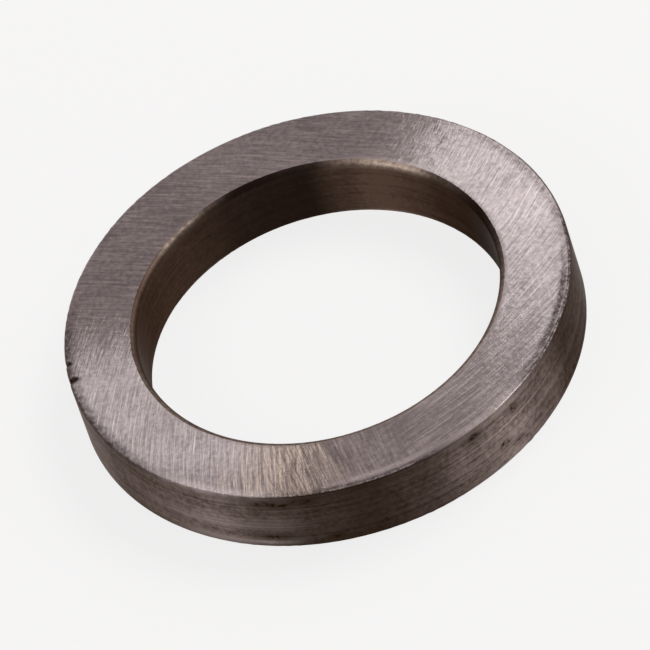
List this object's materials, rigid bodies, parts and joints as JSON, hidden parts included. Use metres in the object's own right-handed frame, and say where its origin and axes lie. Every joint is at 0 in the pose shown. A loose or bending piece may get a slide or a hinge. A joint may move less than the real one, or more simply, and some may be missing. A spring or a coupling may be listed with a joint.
{
  "type": "sprocket spacer",
  "caption": "Plain steel spacer ring with two flat ground faces, a round bore chamfered at both mouths and a deburred rim; slips over a shaft to set a sprocket's position along it.",
  "frame": {"origin": "centre of the lower face, on the bore's axis", "axes": "+Z along the bore's axis, from the lower face to the upper face; X and Y are alike, because the ring is round"},
  "size_m": [0.0444, 0.0444, 0.0063],
  "materials": {
    "steel": "satin"
  },
  "bodies": {
    "root": {"spacer_ring": "steel"}
  },
  "joints": []
}
